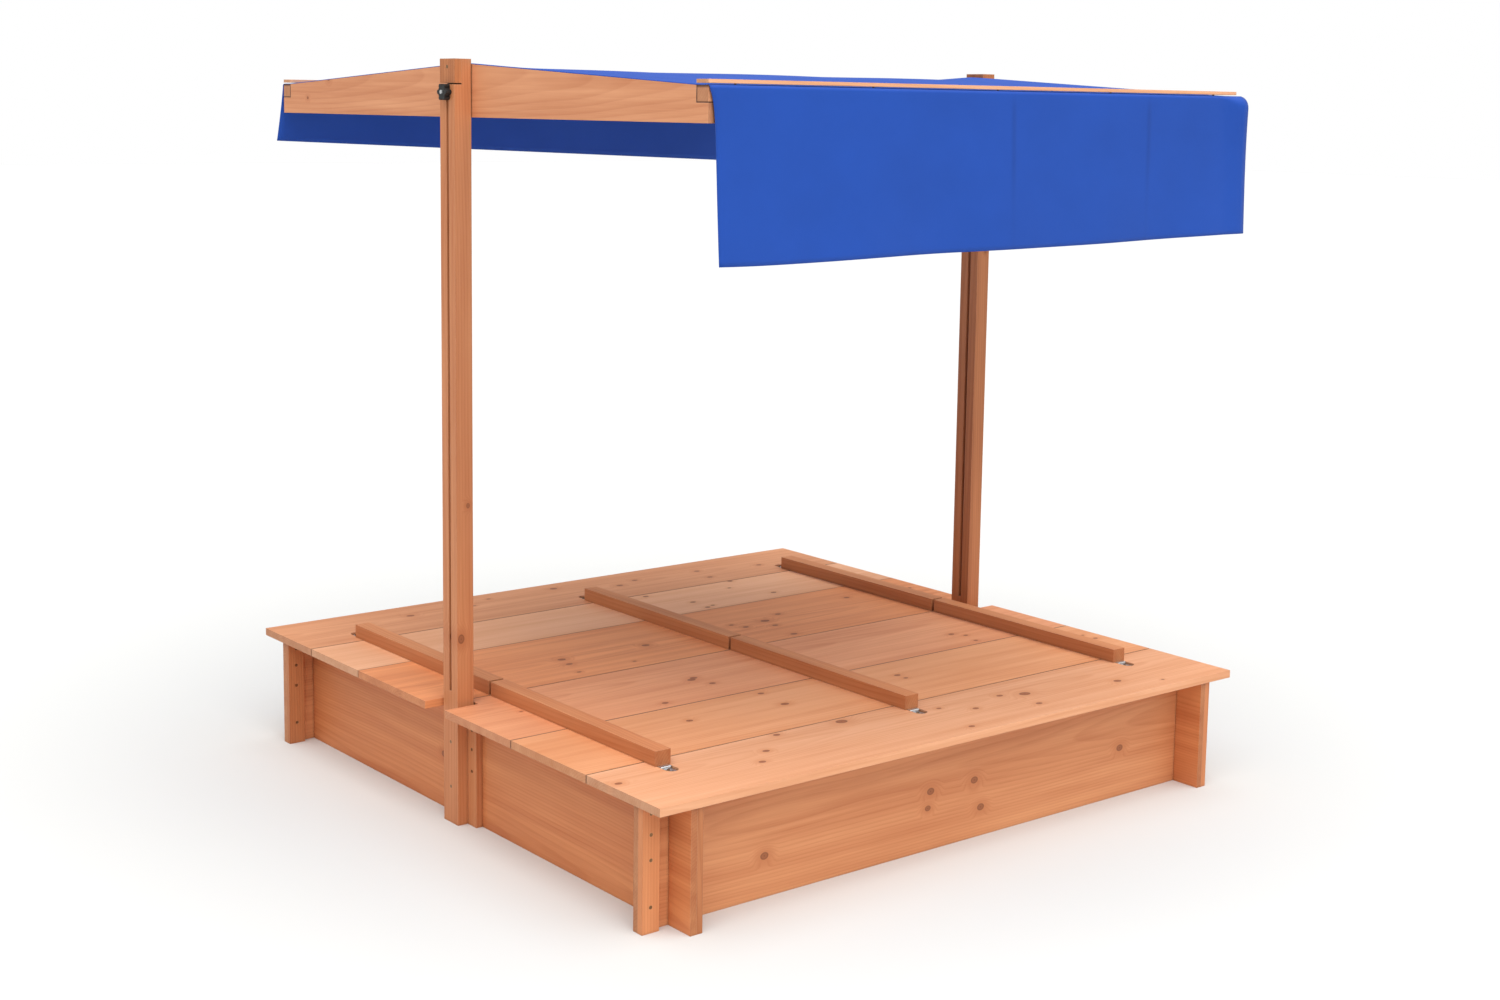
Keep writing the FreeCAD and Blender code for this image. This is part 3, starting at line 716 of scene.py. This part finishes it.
class SANDBOX_OT_canopy_sheet(Operator):
    """Hang the one-piece canopy sheet over the rails and the gable boards"""

    bl_idname = "sandbox.canopy_sheet"
    bl_label = "Canopy sheet"

    CUT = (1.038, 1.513)            # the sheet laid flat, in metres
    COLUMNS = 104
    ROWS = {"back": 14, "back_fold": 7, "top": 118, "front_fold": 7, "front": 32}
    LIFT = 0.15 * MM                # clears the boards that the sheet lies on
    # How much higher each hem hangs than its CAD solid's, at the left and the right corner.
    SKEWS = {"front": (0, 18 * MM), "back": (34 * MM, -6 * MM)}

    # The turn over each rail. It is wider past the right-hand end of the front clamp strip.
    FOLD_LENGTH = 8 * MM
    FOLD_RADIUS, LOOSE_RADIUS = 5.0, 13.0       # in mm: clamped, and how much wider when loose
    STRIP_END, LOOSENING = 0.470, 0.045
    SET_BACK, TIGHTEST = 0.8, 1.05              # in mm: the turn's centre lies behind the rail

    # The top, over gable boards of this thickness and, at their ends, this height.
    GABLE_THICKNESS, GABLE_END = 12 * MM, 1.1120
    RIDGE_ROUNDING = 6 * MM
    SLACKENING = 0.038                          # how far from a gable board the sheet goes slack
    BELLY_CURVE = 1.25                          # over 1 hollows the slope from ridge to rail
    RIPPLE, RIPPLE_ACROSS, RIPPLE_ALONG, RIPPLE_SLANT = 0.7, 0.052, 0.09, 3
    CALM_FROM, CALMING = 0.50, 0.087            # the ripples die out on the way to a rail
    ON_RAIL = 0.56                              # beyond this the sheet lies no lower than a rail

    # The valances. A wave is (height in mm, width in metres over 2 pi, start).
    BACK_CURVE, BACK_SHIFT, BACK_WAVE = 1.25, 2 * MM, (1.5, 0.085, 1.0)
    FRONT_WAVES = ((2.2, 0.067, 0.6), (1.6, 0.037, 2.0))
    HEM_WAVE, HEM_UP = (0.8, 0.11, 0.0), 1.0    # the hem's own wave, and its lift in mm
    WAVES_GROW = 1.6                            # over 1 keeps the waves near the hem
    # The front one settles this many mm off the rail, and more past the strip, on its way down.
    STAND_OFF, LOOSE_OFF, SETTLING = 3.2, 5.0, 0.35
    LEAN_RIGHT, LEAN_LESS, LEAN_CURVE = 0.70, 0.40, 0.75    # shares of the lean setting
    # Its left corner swings out and up in mm, and its left edge curls in.
    CORNER_FROM, CORNER_WIDTH, CORNER_OUT, CORNER_UP = -0.300, 0.22, 9, 4.0
    CURL, CURL_DOWN, CURL_ACROSS = 8 * MM, 0.09, 0.12

    # The cloth. The fold lines are where it was folded in its packet, in mm from the middle.
    FOLD_LINES = (16, 301)
    FOLD_HALF_WIDTH = 8 * MM
    CLOUDS = 7.0                                # a metre: patches about 140 mm across
    # The weave's hollows and the fold lines are darkened with painted shade; the clouds are the
    # coat's tone.
    WEAVE_TONE, CLOUD_TONE, FOLD_TONE, TONE_START = 0.10, 1.10, 0.60, -0.18

    def execute(self, context):
        settings = context.scene.sandbox_canopy
        front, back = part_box("canopy_front_valance"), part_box("canopy_back_valance")
        rail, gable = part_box("front_canopy_rail"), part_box("left_gable_board")
        self.rail_face = -rail[0].y
        self.rail_top = rail[1].z
        self.gable_face = abs(gable[0].y)
        self.peak = gable[1].z
        self.half_width = front[1].x
        self.lift = self.LIFT + settings.thickness / 2
        self.hems = {"front": front[0].z, "back": back[0].z}
        rows = self.path()
        points, sheet_places, faces = [], [], []
        for row in rows:
            for j in range(self.COLUMNS + 1):
                share = j / self.COLUMNS
                points.append(self.point(row, share, settings))
                sheet_places.append((share * self.CUT[0], row[2]))
        across = self.COLUMNS + 1
        for i in range(len(rows) - 1):
            for j in range(self.COLUMNS):
                a = i * across + j
                faces.append((a, a + 1, a + 1 + across, a + across))
        mesh = bpy.data.meshes.new("canopy_sheet")
        mesh.from_pydata(points, [], faces)
        flat = mesh.uv_layers.new(name="flat_cut")
        for loop in mesh.loops:
            flat.data[loop.index].uv = sheet_places[loop.vertex_index]
        mesh.shade_smooth()
        piece = bpy.data.objects.new("canopy_sheet", mesh)
        context.scene.collection.objects.link(piece)
        mesh.materials.append(self.fabric(settings, rows))
        body = piece.modifiers.new("Cloth thickness", "SOLIDIFY")
        body.thickness, body.offset = settings.thickness, 0
        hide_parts("canopy_top", "canopy_front_valance", "canopy_back_valance")
        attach(piece, "canopy")
        return {"FINISHED"}

    def path(self):
        """Rows from the back hem over the top to the front hem, as (part, share, cut place)."""
        lengths = {
            "back": self.rail_top - self.hems["back"],
            "back_fold": self.FOLD_LENGTH,
            "top": 2 * self.rail_face,
            "front_fold": self.FOLD_LENGTH,
            "front": self.rail_top - self.hems["front"],
        }
        rows = []
        measured = 0.0
        for name, length in lengths.items():
            count = self.ROWS[name]
            steps = count + 1 if name == "front" else count
            for k in range(steps):
                rows.append((name, k / count, measured + length * k / count))
            measured += length
        return rows

    def beyond_strip(self, x):
        """0 under the front strip, rising smoothly to 1 past its right-hand end."""
        past = max(0.0, min(1.0, (x - self.STRIP_END) / self.LOOSENING))
        return past * past * (3 - 2 * past)

    def wave(self, x, height, width, start):
        """A long low roll of the cloth at one place across, in millimetres."""
        return height * math.sin(x / width + start)

    def point(self, row, share, settings):
        """Where one point of the sheet hangs, a share of the way across from the left."""
        part, t, _ = row
        x = (2 * share - 1) * self.half_width
        if part == "top":
            y = self.rail_face * (1 - 2 * t)
            return (x, y, self.top_height(x, y, settings))
        front = part.startswith("front")
        end = "front" if front else "back"
        loose = self.beyond_strip(x) if front else 0.0
        radius = (self.FOLD_RADIUS + self.LOOSE_RADIUS * loose) * MM
        set_back = self.SET_BACK * MM * math.sqrt(radius / MM - self.TIGHTEST)
        centre_y = self.rail_face - set_back
        centre_z = self.rail_top + self.lift - radius
        down = t if front else 1 - t
        if part.endswith("fold"):
            if front and t == 0:        # the last row of the top, at the rail's edge
                return (x, -self.rail_face, self.rail_top + self.lift)
            turn = down * math.pi / 2
            y = centre_y + radius * math.sin(turn)
            return (x, -y if front else y, centre_z + radius * math.cos(turn))
        left, right = self.SKEWS[end]
        hem = self.hems[end] + left + (right - left) * share
        z = centre_z + (hem - centre_z) * down
        out = centre_y + radius
        if front:
            return self.front_point(x, z, out, down, settings)
        y = out + settings.flare * down ** self.BACK_CURVE
        roll = self.wave(x, *self.BACK_WAVE) * MM * down
        return (x - self.BACK_SHIFT * down, y + roll, z)

    def front_point(self, x, z, out, down, settings):
        """The long valance: it leans to the right and its hem rolls in long low waves."""
        settle = self.rail_face + (self.STAND_OFF + self.LOOSE_OFF * self.beyond_strip(x)) * MM
        y = settle + (out - settle) * math.exp(-down / self.SETTLING)
        waves = sum(self.wave(x, *each) for each in self.FRONT_WAVES)
        corner = max(0.0, min(1.0, (self.CORNER_FROM - x) / self.CORNER_WIDTH)) ** 2
        y += (waves + self.CORNER_OUT * corner) * MM * down ** self.WAVES_GROW
        left = (self.half_width - x) / (2 * self.half_width)
        lean = settings.lean * (self.LEAN_RIGHT - self.LEAN_LESS * left) * down ** self.LEAN_CURVE
        inward = math.exp(-(x + self.half_width) / self.CURL_ACROSS)
        curl = self.CURL * (1 - math.exp(-down / self.CURL_DOWN)) * inward
        rise = self.CORNER_UP * corner + self.HEM_UP - self.wave(x, *self.HEM_WAVE)
        return (x + lean + curl, -y, z + rise * MM * down)

    def top_height(self, x, y, settings):
        """Taut over the gable boards and the rails, and slack between them."""
        reach = abs(y) / self.rail_face
        roof = max(0.0, 1 - math.hypot(y, self.RIDGE_ROUNDING) / self.gable_face)
        edge = max(self.rail_top, self.GABLE_END + (self.peak - self.GABLE_END) * roof)
        inside = max(0.0, self.half_width - self.GABLE_THICKNESS - abs(x))
        slack = 1 - math.exp(-inside / self.SLACKENING)
        middle = self.peak - self.rail_top - settings.sag
        arch = max(0.0, math.cos(reach * math.pi / 2)) ** self.BELLY_CURVE
        belly = self.rail_top + middle * arch
        calm = max(0.0, min(1.0, (abs(y) - self.CALM_FROM) / self.CALMING))
        ripple = self.wave(x, self.RIPPLE, self.RIPPLE_ACROSS, self.RIPPLE_SLANT * y)
        ripple *= math.sin(y / self.RIPPLE_ALONG) * slack * (1 - calm)
        height = edge + (belly - edge) * slack + ripple * MM
        if abs(y) > self.ON_RAIL:
            height = max(height, self.rail_top)
        return height + self.lift

    def fabric(self, settings, rows):
        """Woven polyester with a thin water-repellent coat.

        The eye sees an even blue with a close plain weave, a weak sheen at glancing angles, faint
        clouds where the coat varies and two pressed fold lines down the front. The hollows of the
        weave and the fold lines are darkened with painted shade. The real threads are about 0.4 mm
        apart, too fine to show, so they are drawn as coarse as the setting.
        """
        material, tree, output = new_material("Coated woven polyester")
        place = add_node(tree, "UVMap", {"uv_map": "flat_cut"})
        split = add_node(tree, "SeparateXYZ", (), {0: place.outputs["UV"]})
        turns = 2 * math.pi / settings.thread
        threads = []
        for axis in "XY":
            phase = add_node(
                tree, "Math", {"operation": "MULTIPLY"}, {0: split.outputs[axis], 1: turns}
            )
            threads.append(
                add_node(tree, "Math", {"operation": "SINE"}, {0: phase.outputs[0]}).outputs[0]
            )
        weave = add_node(
            tree, "Math", {"operation": "MULTIPLY"}, {0: threads[0], 1: threads[1]}
        ).outputs[0]
        cloud = add_node(
            tree, "TexNoise", (),
            {"Vector": place.outputs["UV"], "Scale": self.CLOUDS, "Detail": 4.0,
             "Roughness": 0.55},
        ).outputs["Fac"]
        # Pressed folds, drawn with a bump and painted shade, strong at the top of the front
        # valance and faint from half way down it.
        start = next(r[2] for r in rows if r[0] == "front")
        fade = add_node(
            tree, "MapRange", {"interpolation_type": "SMOOTHSTEP"},
            {"Value": split.outputs["Y"], "From Min": start + 0.09, "From Max": start + 0.19,
             "To Min": 1.0, "To Max": 0.25},
        ).outputs["Result"]
        begin = add_node(
            tree, "MapRange", {"interpolation_type": "SMOOTHSTEP"},
            {"Value": split.outputs["Y"], "From Min": start - 0.01, "From Max": start + 0.03},
        ).outputs["Result"]
        line = None
        for place_mm in self.FOLD_LINES:
            away = add_node(
                tree, "Math", {"operation": "SUBTRACT"},
                {0: split.outputs["X"], 1: self.CUT[0] / 2 + place_mm * MM},
            )
            away = add_node(tree, "Math", {"operation": "ABSOLUTE"}, {0: away.outputs[0]})
            ridge = add_node(
                tree, "MapRange", {"interpolation_type": "SMOOTHSTEP"},
                {"Value": away.outputs[0], "From Min": 0.0, "From Max": self.FOLD_HALF_WIDTH,
                 "To Min": 1.0, "To Max": 0.0},
            ).outputs["Result"]
            line = ridge if line is None else add_node(
                tree, "Math", {"operation": "ADD"}, {0: line, 1: ridge}
            ).outputs[0]
        for mask in (fade, begin):
            line = add_node(tree, "Math", {"operation": "MULTIPLY"}, {0: line, 1: mask}).outputs[0]
        # The dye mixes towards its shade colour: painted shade in the weave and folds, and the
        # clouds.
        tone = add_node(
            tree, "Math", {"operation": "MULTIPLY_ADD"},
            {0: weave, 1: self.WEAVE_TONE, 2: self.TONE_START},
        ).outputs[0]
        for pattern, weight in ((cloud, self.CLOUD_TONE), (line, self.FOLD_TONE)):
            tone = add_node(
                tree, "Math", {"operation": "MULTIPLY_ADD"}, {0: pattern, 1: weight, 2: tone}
            ).outputs[0]
        colour = add_node(
            tree, "Mix", {"data_type": "RGBA", "clamp_factor": True},
            {0: tone, 6: (*settings.fabric, 1), 7: (*settings.shade, 1)},
        ).outputs[2]
        height = add_node(
            tree, "Math", {"operation": "MULTIPLY_ADD"}, {0: line, 1: 2.5, 2: weave}
        ).outputs[0]
        relief = add_node(
            tree, "Bump", (), {"Strength": 0.30, "Distance": 0.20 * MM, "Height": height}
        )
        gloss = add_node(
            tree, "Math", {"operation": "MULTIPLY_ADD"}, {0: cloud, 1: 0.12, 2: 0.56}
        )
        shader = add_node(
            tree, "BsdfPrincipled", (),
            {"Base Color": colour, "Roughness": gloss.outputs[0], "IOR": 1.5,
             "Specular IOR Level": 0.25, "Sheen Weight": 0.05, "Sheen Roughness": 0.45,
             "Normal": relief.outputs[0]},
        )
        finish_material(tree, output, shader)
        return material


class SANDBOX_OT_fittings(Operator):
    """Plate the hinges, screws and bolts and mould the knobs"""

    bl_idname = "sandbox.fittings"
    bl_label = "Fittings"

    PATCH = 4 * MM              # across a dulled patch of the plating
    GRAIN = 0.5 * MM            # of the eroded mould
    LOBE_RADIUS = 0.8 * MM      # rounding of the knobs' edges

    def execute(self, context):
        settings = context.scene.sandbox_fittings
        plastic = self.plastic(settings)
        zinc = self.plated("Zinc-plated steel", settings.zinc, settings.tarnish)
        chromate = self.plated("Yellow-chromate steel", settings.screw, settings.screw_dark)
        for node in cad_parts:
            if "screws" in node:
                dress(node, chromate)
            elif "hinge" in node or "bolt" in node:
                dress(node, zinc)
            elif "knob" in node:
                dress(node, plastic)
        return {"FINISHED"}

    def plated(self, name, bright, dull):
        """Steel with a thin plated coat.

        The eye sees a metal with soft, blurred highlights and duller patches a few millimetres
        across where the plating has started to tarnish.
        """
        material, tree, output = new_material(name)
        place = add_node(tree, "TexCoord")
        patch = add_node(
            tree, "TexNoise", (),
            {"Vector": place.outputs["Object"], "Scale": 1 / self.PATCH, "Detail": 3.0},
        ).outputs["Fac"]
        colour = add_node(
            tree, "Mix", {"data_type": "RGBA"},
            {0: patch, 6: (*bright, 1), 7: (*dull, 1)},
        ).outputs[2]
        gloss = add_node(
            tree, "Math", {"operation": "MULTIPLY_ADD"}, {0: patch, 1: 0.25, 2: 0.26}
        )
        relief = add_node(
            tree, "Bump", (), {"Strength": 0.15, "Distance": 0.05 * MM, "Height": patch}
        )
        shader = add_node(
            tree, "BsdfPrincipled", (),
            {"Base Color": colour, "Metallic": 1.0, "Roughness": gloss.outputs[0],
             "Normal": relief.outputs[0]},
        )
        finish_material(tree, output, shader)
        return material

    def plastic(self, settings):
        """Black polyamide from a spark-eroded mould.

        The eye sees near black with a broad soft highlight, broken up by a fine grain of about
        0.5 mm, and rounded lobes.
        """
        material, tree, output = new_material("Moulded black polyamide")
        place = add_node(tree, "TexCoord")
        grain = add_node(
            tree, "TexNoise", (),
            {"Vector": place.outputs["Object"], "Scale": 1 / self.GRAIN, "Detail": 2.0},
        ).outputs["Fac"]
        gloss = add_node(
            tree, "Math", {"operation": "MULTIPLY_ADD"}, {0: grain, 1: 0.18, 2: 0.36}
        )
        rounded = add_node(tree, "Bevel", {"samples": 4}, {"Radius": self.LOBE_RADIUS})
        relief = add_node(
            tree, "Bump", (),
            {"Strength": 0.25, "Distance": 0.05 * MM, "Height": grain,
             "Normal": rounded.outputs[0]},
        )
        shader = add_node(
            tree, "BsdfPrincipled", (),
            {"Base Color": (*settings.knob, 1), "Roughness": gloss.outputs[0], "IOR": 1.53,
             "Normal": relief.outputs[0]},
        )
        finish_material(tree, output, shader)
        return material


class SANDBOX_PT_panel(Panel):
    """Lists the sandbox's settings and pieces"""

    bl_idname = "SANDBOX_PT_panel"
    bl_label = "Sandbox"
    bl_space_type = "VIEW_3D"
    bl_region_type = "UI"
    bl_category = "Sandbox"

    def draw(self, context):
        for name in SETTINGS:
            box = self.layout.box()
            group = getattr(context.scene, name)
            for key in group.__annotations__:
                box.prop(group, key)
        for piece in PIECES:
            self.layout.operator(piece.bl_idname)


SETTINGS = {
    "sandbox_wood": SandboxWood,
    "sandbox_canopy": SandboxCanopy,
    "sandbox_fittings": SandboxFittings,
    "sandbox_stage": SandboxStage,
}
PIECES = (
    SANDBOX_OT_stage,
    SANDBOX_OT_deck,
    SANDBOX_OT_box,
    SANDBOX_OT_posts,
    SANDBOX_OT_lid_battens,
    SANDBOX_OT_canopy_frame,
    SANDBOX_OT_canopy_sheet,
    SANDBOX_OT_fittings,
)


def register():
    for made in (*SETTINGS.values(), *PIECES, SANDBOX_PT_panel):
        bpy.utils.register_class(made)
    for name, made in SETTINGS.items():
        setattr(bpy.types.Scene, name, PointerProperty(type=made))


def unregister():
    for name in SETTINGS:
        delattr(bpy.types.Scene, name)
    for made in reversed((*SETTINGS.values(), *PIECES, SANDBOX_PT_panel)):
        bpy.utils.unregister_class(made)


def main():
    register()
    for piece in PIECES:
        group, name = piece.bl_idname.split(".")
        getattr(getattr(bpy.ops, group), name)()


if __name__ == "__main__":
    main()
